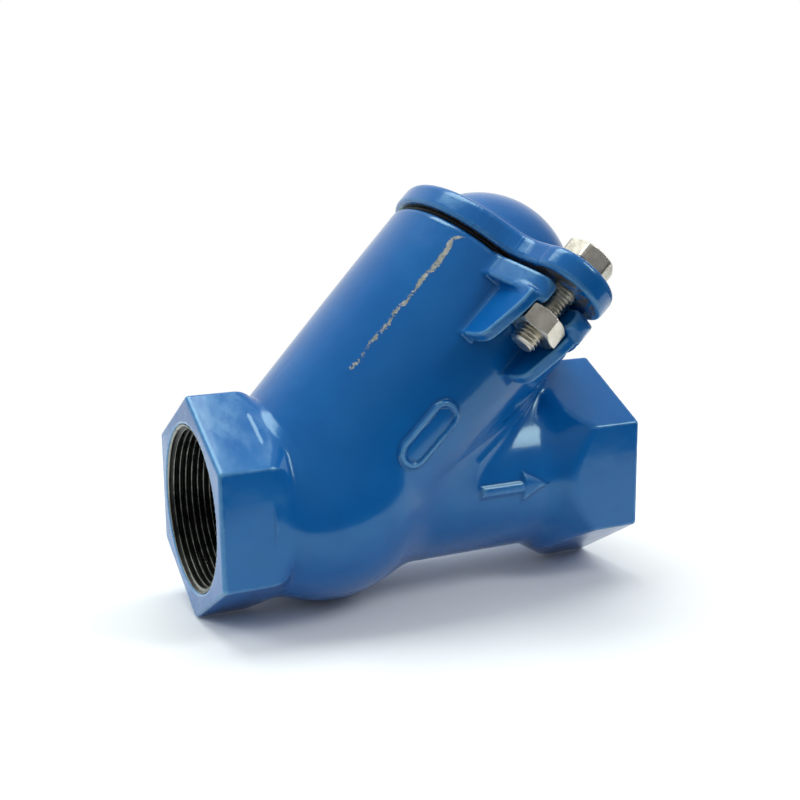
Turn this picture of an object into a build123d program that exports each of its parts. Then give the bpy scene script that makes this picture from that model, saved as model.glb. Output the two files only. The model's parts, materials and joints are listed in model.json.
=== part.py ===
from build123d import *
from math import cos, radians, sin, sqrt, tan
import os

# Ball check valve with G 2 female ends, in millimetres.
# The pipe run lies along X from the inlet mouth at the origin to the outlet mouth.
# The branch rises from the run at branch_angle and leans towards the outlet.
# Branch frame: x is the row's Y, z runs up the branch axis, and its zero is on the run's axis.

# Pipe run
run_length = 169.5
hex_across_flats = 71.0
hex_corner_radius = hex_across_flats / sqrt(3)
thread_minor_radius = 28.33
thread_depth = 22.0
waterway_radius = 26.0
run_outer_radius = 31.6
neck_outer_radius = 35.5
inlet_flat_end = 27.0
inlet_corner_end = 21.0
outlet_flare_start = 133.0
outlet_flat_start = 140.0
outlet_corner_start = 149.0

# Branch, measured up its own axis
branch_angle = 45.0
branch_foot_x = 45.0
belly_radius = 43.5
belly_height = 5.0
branch_foot_radius = 39.2
branch_rim_radius = 43.1
rim_height = 104.3
wall = 4.8
register_radius = 38.0
register_depth = 4.0

# Ball and seat
ball_radius = 30.0
coating_thickness = 3.0
ball_rest_height = 10.6
seat_tilt = 15.0
seat_radius = 25.0
seat_contact_radius = 25.5
seat_cone_margin = 0.9
seat_gap = 0.1

# Cover
cover_underside = 106.0
flange_thickness = 9.3
flange_radius = 44.2
lug_offset = 54.5
lug_radius = 15.5
lug_neck_half_width = 19.0
lug_neck_fillet = 10.0
dome_centre_height = 102.5
dome_outer_radius = 36.0
dome_inner_radius = 31.5
spigot_radius = 37.6
spigot_length = 4.2
screw_hole_radius = 5.5

# Gasket
gasket_inner_radius = 38.2
gasket_outer_radius = 42.0
gasket_thickness = 1.6

# Body lugs: each prong is a plate beside the slot, with a web under it beside the nut's channel
lug_root_reach = 31.0
lug_plate_thickness = 8.8
slot_half_width = 6.0
lug_root_half_width = 20.5
lug_shoulder_reach = 37.5
lug_nose_half_width = 12.0
lug_nose_reach = 62.0
lug_nose_chamfer = 4.5
web_inner_offset = 8.9
web_outer_offset = 13.2
web_reach = 60.0
web_straight_height = 4.0
web_toe_reach = 53.5
web_toe_height = 76.0
web_foot_reach = 49.0
web_foot_height = 74.0

# M10 fasteners
thread_radius = 4.5
nut_bore_radius = 4.55
fastener_across_flats = 17.0
hex_chamfer_angle = 30.0
head_turn = 12.0
head_height = 6.4
nut_height = 8.0
screw_length = 35.0
washer_radius = 9.0
washer_bore_radius = 5.25
washer_thickness = 1.6
stack_gap = 0.05

# Raised marks: a flow arrow on the outlet pipe and a blank pad on the branch
mark_height = 1.2
arrow_tail_x = 101.0
arrow_length = 28.0
arrow_head_length = 10.0
arrow_head_half_width = 5.5
arrow_shaft_half_width = 2.0
pad_length = 27.0
pad_width = 11.0
pad_centre_height = 40.0
pad_centre_offset = -2.0

branch = Plane(
    origin=(branch_foot_x, 0, 0),
    x_dir=(0, 1, 0),
    z_dir=(cos(radians(branch_angle)), 0, sin(radians(branch_angle))),
)
run = Plane(origin=(0, 0, 0), x_dir=(0, 1, 0), z_dir=(1, 0, 0))

ball_rest = branch.from_local_coords(Vector(0, 0, ball_rest_height))
seat = Plane(
    origin=ball_rest,
    x_dir=(0, 1, 0),
    z_dir=(cos(radians(seat_tilt)), 0, sin(radians(seat_tilt))),
)

flange_top = cover_underside + flange_thickness
plate_underside = rim_height - lug_plate_thickness
head_underside = flange_top + washer_thickness + 2 * stack_gap


def cylinder(radius, low, high):
    """A cylinder on the local z axis, from low to high."""
    return Pos(0, 0, low) * Cylinder(radius, high - low, align=(Align.CENTER, Align.CENTER, Align.MIN))


def cone(low_radius, high_radius, low, high):
    """A cone frustum on the local z axis, from low to high."""
    frustum = Cone(low_radius, high_radius, high - low, align=(Align.CENTER, Align.CENTER, Align.MIN))
    return Pos(0, 0, low) * frustum


def turned(points):
    """A solid of revolution on the local z axis, from (radius, height) points."""
    profile = Plane.XZ * make_face(Polyline(*points, close=True))
    return revolve(profile, Axis.Z)


def hexagon(across_flats, low, high, turn):
    """A hexagonal prism on the local z axis, with its first corner at the angle turn."""
    sketch = RegularPolygon(across_flats / sqrt(3), 6, rotation=turn)
    return Pos(0, 0, low) * extrude(sketch, high - low)


def inlet_end():
    """The inlet hexagon, with its inner corners turned off at 45 degrees or so, and the neck."""
    slope = (inlet_flat_end - inlet_corner_end) / (hex_corner_radius - hex_across_flats / 2)
    reach = hex_corner_radius + 2
    envelope = turned([
        (0, 0),
        (reach, 0),
        (reach, inlet_corner_end - 2 * slope),
        (hex_across_flats / 2, inlet_flat_end),
        (0, inlet_flat_end),
    ])
    prism = hexagon(hex_across_flats, 0, inlet_flat_end, 30)
    neck = cylinder(neck_outer_radius, inlet_corner_end, branch_foot_x)
    return run * (prism & envelope) + run * neck


def outlet_end():
    """The outlet pipe, its flare and the outlet hexagon."""
    reach = hex_corner_radius + 2
    envelope = turned([
        (0, outlet_flare_start),
        (run_outer_radius, outlet_flare_start),
        (hex_across_flats / 2, outlet_flat_start),
        (hex_corner_radius, outlet_corner_start),
        (reach, outlet_corner_start + 2),
        (reach, run_length),
        (0, run_length),
    ])
    prism = hexagon(hex_across_flats, outlet_flare_start, run_length, 30)
    pipe = cylinder(run_outer_radius, branch_foot_x, outlet_flare_start + 1)
    return run * (prism & envelope) + run * pipe


def branch_casting():
    """The belly and the branch, which widens a little towards its rim."""
    belly = Pos(0, 0, belly_height) * Sphere(belly_radius)
    trunk = cone(branch_foot_radius, branch_rim_radius, belly_height, rim_height)
    return branch * (belly + trunk)


def lug_prong(side):
    """One prong of the lug pair on local +x: a plate under the rim and the web below it."""
    plate_outline = make_face(Polyline(
        (lug_root_reach, side * slot_half_width),
        (lug_nose_reach, side * slot_half_width),
        (lug_nose_reach, side * (lug_nose_half_width - lug_nose_chamfer)),
        (lug_nose_reach - lug_nose_chamfer, side * lug_nose_half_width),
        (lug_shoulder_reach, side * lug_root_half_width),
        (lug_root_reach, side * lug_root_half_width),
        close=True,
    ))
    plate = Pos(0, 0, plate_underside) * extrude(plate_outline, lug_plate_thickness)
    web_outline = Plane.XZ * make_face(Polyline(
        (lug_root_reach, plate_underside + 1),
        (web_reach, plate_underside + 1),
        (web_reach, plate_underside - web_straight_height),
        (web_toe_reach, web_toe_height),
        (web_foot_reach, web_foot_height),
        (lug_root_reach, web_foot_height),
        close=True,
    ))
    web = extrude(web_outline, (web_outer_offset - web_inner_offset) / 2, both=True)
    web_middle = (web_inner_offset + web_outer_offset) / 2
    return plate + Pos(0, side * web_middle, 0) * web


def body_lugs():
    """Both lug pairs, one on each side of the branch."""
    pair = lug_prong(1) + lug_prong(-1)
    return branch * pair + branch * mirror(pair, Plane.YZ)


def flow_arrow():
    """The raised arrow along the outlet pipe, on both sides, pointing at the outlet."""
    tip_x = arrow_tail_x + arrow_length
    head_x = tip_x - arrow_head_length
    outline = Plane.XZ * make_face(Polyline(
        (arrow_tail_x, -arrow_shaft_half_width),
        (head_x, -arrow_shaft_half_width),
        (head_x, -arrow_head_half_width),
        (tip_x, 0),
        (head_x, arrow_head_half_width),
        (head_x, arrow_shaft_half_width),
        (arrow_tail_x, arrow_shaft_half_width),
        close=True,
    ))
    face_radius = run_outer_radius + mark_height
    arrow = extrude(outline, face_radius, both=True)
    return arrow & (run * cylinder(face_radius, arrow_tail_x - 1, tip_x + 1))


def blank_pad():
    """The raised blank pad along the branch, on both sides."""
    outline = Plane.YZ * SlotOverall(pad_length, pad_width, rotation=90)
    foot_radius = branch_foot_radius + mark_height
    rim_radius = branch_rim_radius + mark_height
    pad = Pos(0, pad_centre_offset, pad_centre_height) * extrude(outline, rim_radius, both=True)
    return branch * (pad & cone(foot_radius, rim_radius, belly_height, rim_height))


def seat_profile():
    """Where the seat's cone starts and ends, as (radius, height) in the ball's seat frame.

    The cone is the tangent cone of the resting ball, moved seat_gap away from it.
    """
    sine = seat_contact_radius / ball_radius
    cosine = sqrt(1 - sine ** 2)
    touch_radius = (ball_radius + seat_gap) * sine
    touch_height = -(ball_radius + seat_gap) * cosine
    slope = cosine / sine
    cone_start = touch_height - (touch_radius - seat_radius) / slope
    face_height = touch_height + seat_cone_margin
    face_radius = touch_radius + seat_cone_margin * slope
    return (seat_radius, cone_start), (face_radius, face_height)


def seat_bore():
    """The throat between the inlet thread and the ball, and the seat's cone."""
    cone_start, cone_end = seat_profile()
    throat = seat * turned([
        (0, -run_length),
        (seat_radius, -run_length),
        cone_start,
        cone_end,
        (0, cone_end[1]),
    ])
    past_thread = run * cylinder(2 * thread_minor_radius, thread_depth - 1, run_length)
    return throat & past_thread


def body_bores():
    """Everything that is hollow in the body."""
    inlet_thread = run * cylinder(thread_minor_radius, -1, thread_depth)
    outlet_thread = run * cylinder(thread_minor_radius, run_length - thread_depth, run_length + 1)
    outlet_way = run * cylinder(waterway_radius, ball_rest.X, run_length - thread_depth + 1)
    chamber = Pos(0, 0, belly_height) * Sphere(belly_radius - wall)
    chamber += cone(branch_foot_radius - wall, branch_rim_radius - wall, belly_height, rim_height - 1)
    chamber = branch * chamber
    seat_face_height = seat_profile()[1][1]
    beyond_seat = seat * cylinder(run_length, seat_face_height, run_length)
    chamber = chamber & beyond_seat
    register = branch * cylinder(register_radius, rim_height - register_depth, rim_height + 1)
    return inlet_thread + outlet_thread + outlet_way + chamber + register + seat_bore()


def valve_body():
    """The body casting, machined."""
    casting = inlet_end() + outlet_end() + branch_casting() + body_lugs() + flow_arrow() + blank_pad()
    return casting - body_bores()


def cover():
    """The cover: a flange with two lugs, a spigot that centres it on the rim, and the dome."""
    flange_outline = Circle(flange_radius)
    for side in (-1, 1):
        flange_outline += Pos(side * lug_offset, 0) * Circle(lug_radius)
        flange_outline += make_face(Polyline(
            (side * dome_outer_radius, -lug_neck_half_width),
            (side * lug_offset, -lug_radius),
            (side * lug_offset, lug_radius),
            (side * dome_outer_radius, lug_neck_half_width),
            close=True,
        ))
    corners = flange_outline.vertices()
    necks = [v for v in corners if abs(v.Y) > lug_radius + 1 and abs(v.X) < lug_offset - 1]
    flange_outline = fillet(necks, lug_neck_fillet)
    flange = Pos(0, 0, cover_underside) * extrude(flange_outline, flange_thickness)
    spigot = cylinder(spigot_radius, cover_underside - spigot_length, cover_underside)
    dome = Pos(0, 0, dome_centre_height) * Sphere(dome_outer_radius)
    dome_top = dome_centre_height + dome_outer_radius
    dome = dome & cylinder(dome_outer_radius, cover_underside + 1, dome_top)
    hollow_mouth_radius = sqrt(dome_inner_radius ** 2 - (cover_underside - dome_centre_height) ** 2)
    hollow = Pos(0, 0, dome_centre_height) * Sphere(dome_inner_radius)
    hollow = hollow & cylinder(dome_outer_radius, cover_underside, dome_top)
    hollow += cylinder(hollow_mouth_radius, cover_underside - spigot_length - 1, cover_underside)
    solid = flange + spigot + dome - hollow
    hole = cylinder(screw_hole_radius, cover_underside - 1, flange_top + 1)
    for side in (-1, 1):
        solid -= Pos(side * lug_offset, 0, 0) * hole
    return branch * solid


def cover_gasket():
    """The flat rubber ring between the rim and the cover."""
    ring = cylinder(gasket_outer_radius, rim_height, rim_height + gasket_thickness)
    return branch * (ring - cylinder(gasket_inner_radius, rim_height - 1, cover_underside))


def ball_core():
    """The light alloy ball inside the rubber."""
    return Location(ball_rest) * Sphere(ball_radius - coating_thickness)


def ball_coating():
    """The rubber skin that is bonded on the core and seals on the seat."""
    return Location(ball_rest) * (Sphere(ball_radius) - Sphere(ball_radius - coating_thickness))


def chamfer_cone(low, high, chamfer_at_low):
    """The turned envelope that rounds off a hexagon's corners, at its top and, for a nut, its bottom."""
    flat_radius = fastener_across_flats / 2
    corner_radius = fastener_across_flats / sqrt(3)
    drop = (corner_radius - flat_radius) * tan(radians(hex_chamfer_angle))
    points = [(0, low)]
    if chamfer_at_low:
        points += [(flat_radius, low), (corner_radius, low + drop)]
    else:
        points += [(corner_radius, low)]
    points += [(corner_radius, high - drop), (flat_radius, high), (0, high)]
    return turned(points)


def screw(side):
    """An M10 hexagon screw. Its thread is a plain cylinder near the pitch diameter."""
    head_top = head_underside + head_height
    head = hexagon(fastener_across_flats, head_underside, head_top, head_turn)
    head = head & chamfer_cone(head_underside, head_top, False)
    tail = head_underside - screw_length
    shank = cylinder(thread_radius, tail + 1, head_underside + 1)
    tip = cone(thread_radius - 1, thread_radius, tail, tail + 1)
    return branch * Pos(side * lug_offset, 0, 0) * (head + shank + tip)


def nut(side):
    """An M10 hexagon nut, with two of its flats facing the walls of the channel."""
    top = plate_underside - 2 * stack_gap
    bottom = top - nut_height
    blank = hexagon(fastener_across_flats, bottom, top, 0) & chamfer_cone(bottom, top, True)
    blank -= cylinder(nut_bore_radius, bottom - 1, top + 1)
    return branch * Pos(side * lug_offset, 0, 0) * blank


def washer(side):
    """A small plain washer under the screw's head."""
    low = flange_top + stack_gap
    high = low + washer_thickness
    ring = cylinder(washer_radius, low, high) - cylinder(washer_bore_radius, low - 1, high + 1)
    return branch * Pos(side * lug_offset, 0, 0) * ring


def save(shape, name):
    """Write one piece under its own name."""
    export_step(shape, f"parts/{name}.step")


os.makedirs("parts", exist_ok=True)
save(valve_body(), "valve_body")
save(cover(), "cover")
save(cover_gasket(), "cover_gasket")
save(ball_core(), "ball_core")
save(ball_coating(), "ball_coating")
for side_name, side in (("near", -1), ("far", 1)):
    save(screw(side), f"{side_name}_bolt")
    save(nut(side), f"{side_name}_nut")
    save(washer(side), f"{side_name}_washer")
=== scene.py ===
import json
import math

import bmesh
import bpy
import numpy as np
from mathutils import Matrix, Vector


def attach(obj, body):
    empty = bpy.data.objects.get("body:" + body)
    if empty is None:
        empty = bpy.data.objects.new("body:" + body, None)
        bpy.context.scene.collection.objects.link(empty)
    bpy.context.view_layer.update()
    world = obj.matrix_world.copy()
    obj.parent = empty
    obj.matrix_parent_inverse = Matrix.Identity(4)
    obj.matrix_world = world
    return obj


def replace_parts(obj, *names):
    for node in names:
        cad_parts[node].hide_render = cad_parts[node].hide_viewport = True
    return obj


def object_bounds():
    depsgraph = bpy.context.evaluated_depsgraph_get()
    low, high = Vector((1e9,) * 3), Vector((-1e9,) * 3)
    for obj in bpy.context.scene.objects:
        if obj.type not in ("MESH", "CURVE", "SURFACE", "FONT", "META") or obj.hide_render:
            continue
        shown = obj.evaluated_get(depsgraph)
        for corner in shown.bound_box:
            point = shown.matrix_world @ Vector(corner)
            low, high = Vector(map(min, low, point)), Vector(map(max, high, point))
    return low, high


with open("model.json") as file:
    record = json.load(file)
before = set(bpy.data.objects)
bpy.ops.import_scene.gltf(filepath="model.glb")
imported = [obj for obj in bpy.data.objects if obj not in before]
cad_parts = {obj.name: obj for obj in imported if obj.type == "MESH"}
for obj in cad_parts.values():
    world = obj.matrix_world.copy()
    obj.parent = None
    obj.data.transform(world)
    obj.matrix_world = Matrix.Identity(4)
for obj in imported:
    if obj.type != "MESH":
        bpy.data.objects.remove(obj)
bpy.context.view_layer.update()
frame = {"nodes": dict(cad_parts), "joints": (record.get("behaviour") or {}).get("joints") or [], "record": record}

# Shapes are worked out in millimetres, and add_mesh() makes metres of them.
MM = 1000.0
FULL_TURN = 2 * math.pi
HALF_ROOT = math.sqrt(0.5)
mounts = {mount["name"]: mount for mount in frame["record"]["mounts"]}
joints = {joint["name"]: joint for joint in frame["joints"]}

# ---------------------------------------------------------------- sizes
# Read from the frame: the ports, the ball, and the two sides' bolt axes
run_length = mounts["outlet_thread"]["pos_m"][0] * MM
port_radius = mounts["inlet_thread"]["dims"]["r_mm"]
port_depth = mounts["inlet_thread"]["dims"]["length_mm"]
bolt_offset = {side: joints[side + "_bolt_turn"]["pos_m"][1] * MM for side in ("near", "far")}
lug_offset = bolt_offset["far"]


def mesh_points(mesh):
    """A mesh's vertices, in millimetres."""
    flat = np.empty(len(mesh.vertices) * 3, np.float32)
    mesh.vertices.foreach_get("co", flat)
    return flat.reshape(-1, 3).astype(float) * MM


def node_points(node):
    """A CAD node's vertices in the row frame."""
    return mesh_points(frame["nodes"][node].data)


ball_points = node_points("ball_coating")
ball_centre = (ball_points.min(0) + ball_points.max(0)) / 2
ball_radius = (ball_points.max(0) - ball_points.min(0)).max() / 2
branch_foot = ball_centre[0] - ball_centre[2]


def to_branch(p):
    """Branch frame: y across, v across it and upwards, s up the branch's axis from the run's axis."""
    x = p[..., 0] - branch_foot
    z = p[..., 2]
    return p[..., 1], (z - x) * HALF_ROOT, (x + z) * HALF_ROOT


def from_branch(y, v, s):
    """Row frame points of branch frame coordinates."""
    x = branch_foot + (s - v) * HALF_ROOT
    z = (s + v) * HALF_ROOT
    return np.stack(np.broadcast_arrays(x, y, z), -1)


def ring_size(node, offset=0.0):
    """Low and high end, inner and outer radius of a node about an axis parallel to the branch's."""
    y, v, s = to_branch(node_points(node))
    around = np.hypot(y - offset, v)
    return s.min(), s.max(), around.min(), around.max()


rim_height, gasket_top, gasket_inner, gasket_outer = ring_size("cover_gasket")
spigot_low = ring_size("cover")[0]
washer_low, washer_high, washer_bore, washer_radius = ring_size("far_washer", lug_offset)
nut_low, nut_high = ring_size("far_nut", lug_offset)[:2]
screw_low, screw_high, _, fastener_corner = ring_size("far_bolt", lug_offset)
fastener_flat = fastener_corner * math.cos(math.pi / 6)

# Pipe run
hex_flat = 35.5
hex_corner = 40.99
hex_corner_round = 1.6
end_round = 1.6
neck_radius = 35.5
neck_start = 20.0
neck_fillet = 1.2
chamfer_round = 2.5
pipe_radius = 31.6
inlet_corner_end = 21.0
inlet_flat_end = 27.0
flare_start = 133.0
flare_corner_end = 149.0
flare_round = 1.5
flare_fillet = 2.2
waterway_radius = 26.0
liner_radius = port_radius + 1.9

# Branch
belly_radius = 43.5
belly_height = 5.0
belly_start = 0.5
belly_spread = 0.8
belly_fillet = 2.0
belly_smallest = 12.0
foot_round = 3.0
trunk_foot = 39.2
trunk_rim = 43.1
trunk_taper = (trunk_rim - trunk_foot) / (rim_height - belly_height)
wall = 4.8
register_radius = 38.0
register_depth = 4.0
rim_round = 2.6
inlet_fillet = 2.2
outlet_fillet = 5.5
way_fillet = 3.0
inner_edge_round = 0.9

# Seat, about the resting ball
seat_tilt = math.radians(15.0)
seat_radius = 25.0
seat_contact = 25.5
seat_gap = 0.1
seat_margin = 0.9

# Parting seam: its angle in degrees round the branch from the near side, its ends along the branch, its
# half width and height, the length of its waves, and the hook at its top
seam_angle = 49.0
seam_start, seam_end = 37.0, 102.5
seam_half_width = 1.15
seam_rise = 0.14
seam_wave = 0.3
seam_wave_rate = 0.45
hook_start, lean_start, lean_length = 98.0, 95.0, 4.0

# Lugs under the rim
plate_thickness = 8.8
slot_half = 6.0
web_inner = 8.9
web_outer = 13.2
lower_web_shift = 0.8
prong_root = 28.0
prong_nose = 62.5
prong_corner, prong_edge = 2.5, 1.3
web_corner, web_edge, web_fillet = 1.6, 1.0, 1.6
prong_fillet = 1.8
web_top = rim_height - plate_thickness + 2
# Outlines of (reach from the middle, distance to the side), and the web's of (reach, height)
upper_prong = [(prong_root, slot_half), (62, slot_half), (62, 8.2), (58.6, 11.8), (37.5, 20.5),
               (prong_root, 20.5)]
lower_prong = [(prong_root, slot_half), (63, slot_half), (63, 11.0), (59.5, 16.0), (40, 22),
               (prong_root, 22)]
web_outline = [(prong_root, 74), (49, 74), (53.5, 76), (60, 91.5), (60, web_top), (prong_root, web_top)]

# Blank pad on the branch, and flow arrow on the pipe
pad_place, pad_half_length, pad_half_width, pad_lean = 40.0, 8.0, 5.8, 2.0
pad_rise, border_rise, border_half_width = 0.7, 1.5, 1.0
arrow_start, arrow_neck, arrow_tip, arrow_overlap = 101.0, 119.0, 129.0, 1.0
arrow_half_width, arrow_head_half, arrow_rise = 2.0, 5.5, 1.2
mark_fillet = 1.0

# Cover
cover_underside = 106.0
cover_top = 115.3
flange_radius = 44.2
lug_radius = 15.5
lug_neck_half = 19.0
dome_height = 102.5
dome_outer = 36.0
dome_inner = 31.5
spigot_radius = 37.6
hole_radius = 5.5
lug_fillet, dome_fillet = 8.0, 6.0
flange_top_round, flange_low_round, spigot_round, hole_round = 3.2, 1.8, 1.0, 0.8
lug_neck_reach = 36.0

# Ball: how far its mould's flash line stands out, and its half width in degrees
flash_depth, flash_width = 0.18, 0.6

# Threads
port_pitch = 2.309
port_thread_height = 1.479
port_mouth, port_chamfer, port_runout, port_row = 0.35, 0.35, 1.5, 0.165
screw_pitch = 1.5
screw_major = 5.0
screw_minor = 4.0
thread_row = 0.125
tail_radius, tail_slope, head_face = 3.8, 1.1, 5.2
nut_mouth, nut_clearance = 5.35, 0.08
head_thickness = 6.4
head_turn = math.radians(12.0)

# Meshes: most triangles, the narrowest face kept, and how far from its face's middle a corner gets a
# curvature or a normal of its own
body_triangles, cover_triangles = 190000, 120000
sliver_width = 0.08
curve_reach, normal_reach = 1.3, 1.7

# Camera: azimuth, elevation and roll in degrees, place in metres, and focal length in millimetres
camera_angles = (-26.288, 11.130, 0.650)
camera_place = (-0.110837, -0.393657, 0.117608)
camera_lens = 52.93


# ---------------------------------------------------------------- fields
# A field is a signed distance, near enough: below 0 inside the solid and above 0 outside.
def blend_min(a, b, width):
    """Union of two fields, with a fillet that starts where they differ by width."""
    overlap = np.maximum(width - np.abs(a - b), 0) / width
    return np.minimum(a, b) - overlap * overlap * width / 4


def blend_max(a, b, width):
    """Intersection of two fields, with a rounded edge."""
    return -blend_min(-a, -b, width)


def beyond(u, v, start, end):
    """Distance from the line through two points, above 0 on its right."""
    du = end[0] - start[0]
    dv = end[1] - start[1]
    return ((u - start[0]) * dv - (v - start[1]) * du) / math.hypot(du, dv)


def convex(u, v, corners, width):
    """A convex outline, its corners named anticlockwise, with rounded corners."""
    field = None
    for start, end in zip(corners, corners[1:] + corners[:1]):
        side = beyond(u, v, start, end)
        field = side if field is None else blend_max(field, side, width)
    return field


def hexagon(u, v, flat, corner_round):
    """A hexagon whose flats face along u, with rounded corners."""
    flat = flat - corner_round
    a = np.abs(v)
    b = np.abs(u)
    fold = 2 * np.minimum(b / 2 - a * math.sqrt(0.75), 0)
    a = a + fold * math.sqrt(0.75)
    b = b - fold / 2
    a = a - np.clip(a, -flat / math.sqrt(3), flat / math.sqrt(3))
    b = b - flat
    return np.hypot(a, b) * np.sign(b) - corner_round


def run_coordinates(p):
    """Distance from the run's axis, and the place along it."""
    return np.hypot(p[..., 1], p[..., 2]), p[..., 0]


def cone_radius(s):
    """The branch's radius at a height along it, without the belly."""
    return trunk_foot + trunk_taper * (s - belly_height)


def skin_field(p):
    """The branch's cone, without its ends."""
    y, v, s = to_branch(p)
    return (np.hypot(y, v) - cone_radius(s)) * math.cos(math.atan(trunk_taper))


def lower_share(y, v):
    """How far round to the branch's lower side a point is, from 0 to 1."""
    around = np.hypot(y, v)
    share = np.clip((belly_start - v / np.maximum(around, 1)) / belly_spread, 0, 1)
    return share * share * (3 - 2 * share)


def branch_field(p):
    """The branch, and the belly that swells out of its foot on the lower side. The top end is open.

    On the lower side, above the belly, it grows only 0.28 as fast as the distance does.
    """
    y, v, s = to_branch(p)
    around = np.hypot(y, v)
    share = lower_share(y, v)
    sphere = np.sqrt(np.maximum(belly_radius ** 2 - (s - belly_height) ** 2, belly_smallest ** 2))
    swell = sphere - cone_radius(s)
    swell = (swell + np.sqrt(swell ** 2 + belly_fillet ** 2)) / 2
    side = (around - cone_radius(s) - share * swell) * (1 - share * (1 - sphere / belly_radius))
    bottom = np.hypot(around, np.minimum(s - belly_height, 0)) - belly_radius
    return blend_max(side, bottom, foot_round - 2.9 * share)


def inlet_field(p):
    """The inlet hexagon, its inner corners turned off, and the neck behind it."""
    across, along = run_coordinates(p)
    chamfer = beyond(across, along, (hex_corner, inlet_corner_end), (neck_radius, inlet_flat_end))
    prism = blend_max(hexagon(p[..., 1], p[..., 2], hex_flat, hex_corner_round), -along, end_round)
    prism = blend_max(prism, chamfer, chamfer_round)
    neck = np.maximum(np.maximum(across - neck_radius, neck_start - along), along - branch_foot)
    return blend_min(prism, neck, neck_fillet)


def outlet_field(p):
    """The outlet pipe and its hexagon."""
    across, along = run_coordinates(p)
    flare = beyond(across, along, (pipe_radius, flare_start), (hex_corner, flare_corner_end))
    prism = hexagon(p[..., 1], p[..., 2], hex_flat, hex_corner_round)
    prism = blend_max(prism, along - run_length, end_round)
    prism = blend_max(prism, flare, flare_round)
    pipe = np.maximum(np.maximum(across - pipe_radius, branch_foot - along), along - flare_start - 4)
    return blend_min(prism, pipe, flare_fillet)


def prong_field(y, v, s):
    """The lug prongs: plates under the rim with rounded noses, and the webs below them."""
    reach = np.abs(y)
    side = np.abs(v)
    upper = convex(reach, side, upper_prong, prong_corner)
    lower = convex(reach, side, lower_prong, prong_corner)
    outline = np.where(v > 0, upper, lower)
    nose = np.maximum(reach - prong_nose + plate_thickness / 2, 0)
    slab = np.hypot(nose, s - rim_height + plate_thickness / 2) - plate_thickness / 2
    plate = blend_max(outline, slab, prong_edge)
    centre = (web_inner + web_outer) / 2 + np.where(v > 0, 0, lower_web_shift)
    sides = np.abs(side - centre) - (web_outer - web_inner) / 2
    web = blend_max(convex(reach, s, web_outline, web_corner), sides, web_edge)
    return blend_min(plate, web, web_fillet)


def pad_field(p):
    """The raised blank pad on each side of the branch, with a taller border."""
    y, v, s = to_branch(p)
    past_end = np.maximum(np.abs(s - pad_place) - pad_half_length, 0)
    outline = np.hypot(v + pad_lean, past_end) - pad_half_width
    skin = skin_field(p)
    plate = blend_max(outline, skin - pad_rise, 0.8)
    border = np.abs(outline + border_half_width) - border_half_width
    return np.minimum(plate, blend_max(border, skin - border_rise, 1.2))


def arrow_field(p):
    """The raised flow arrow on each side of the outlet pipe."""
    across, along = run_coordinates(p)
    z = np.abs(p[..., 2])
    shaft = np.maximum(z - arrow_half_width, arrow_start - along)
    shaft = np.maximum(shaft, along - arrow_neck - arrow_overlap)
    head = beyond(along, z, (arrow_tip, 0), (arrow_neck, arrow_head_half))
    head = np.maximum(head, arrow_neck - along)
    outline = blend_min(shaft, head, 0.8)
    return blend_max(outline, across - pipe_radius - arrow_rise, 1.6)


def seam_place(p):
    """Place along the branch, and distance round it from the parting seam's line."""
    y, v, s = to_branch(p)
    offset = (np.degrees(np.arctan2(v, -y)) - seam_angle) * trunk_rim * math.pi / 180
    hook = np.maximum(s - hook_start, 0) ** 2 * 0.22 - np.clip(s - lean_start, 0, lean_length) * 0.3
    return s, offset + seam_wave * np.sin(s * seam_wave_rate) + hook


def seam_height(p):
    """The filed-down parting seam: 1 on its line, fading to 0 beside it and at its ends."""
    s, offset = seam_place(p)
    ends = np.clip((s - seam_start) / 3, 0, 1) * np.clip((seam_end - s) / 2, 0, 1)
    return np.exp(-(offset / seam_half_width) ** 2) * ends


def seat_coordinates(p):
    """Distance from the seat's axis, and height from the ball's centre along it."""
    x = p[..., 0] - ball_centre[0]
    z = p[..., 2] - ball_centre[2]
    height = x * math.cos(seat_tilt) + z * math.sin(seat_tilt)
    across = z * math.cos(seat_tilt) - x * math.sin(seat_tilt)
    return np.hypot(p[..., 1], across), height


def seat_corners():
    """Start and end of the seat's cone, which is the resting ball's tangent cone."""
    sine = seat_contact / ball_radius
    cosine = math.sqrt(1 - sine * sine)
    touch = (ball_radius + seat_gap) * sine, -(ball_radius + seat_gap) * cosine
    slope = cosine / sine
    start = seat_radius, touch[1] - (touch[0] - seat_radius) / slope
    end = touch[0] + seat_margin * slope, touch[1] + seat_margin
    return start, end


def hollow_field(p):
    """Everything that is open inside the body."""
    across, along = run_coordinates(p)
    y, v, s = to_branch(p)
    around = np.hypot(y, v)
    seat_across, seat_height = seat_coordinates(p)
    start, end = seat_corners()
    # Known fault: on the branch's lower side, above the belly, this leaves 17.4 mm and not the 4.8 of wall.
    chamber = np.maximum(branch_field(p) + wall, end[1] - seat_height)
    way = np.maximum(across - waterway_radius, ball_centre[0] - along)
    chamber = blend_min(chamber, np.maximum(way, end[1] - seat_height), way_fillet)
    throat = np.maximum(seat_across - seat_radius, seat_height - end[1] - 1)
    cone = beyond(seat_across, seat_height, start, end)
    cone = np.maximum(np.maximum(cone, start[1] - seat_height - 1), seat_height - end[1] - 1)
    throat = np.maximum(np.minimum(throat, cone), port_depth - 1 - along)
    inlet = np.maximum(across - liner_radius, along - port_depth)
    outlet = np.maximum(across - liner_radius, run_length - port_depth - along)
    register = np.maximum(around - register_radius, rim_height - register_depth - s)
    field = np.minimum(np.minimum(chamber, throat), np.minimum(inlet, outlet))
    return np.minimum(field, register)


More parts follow.
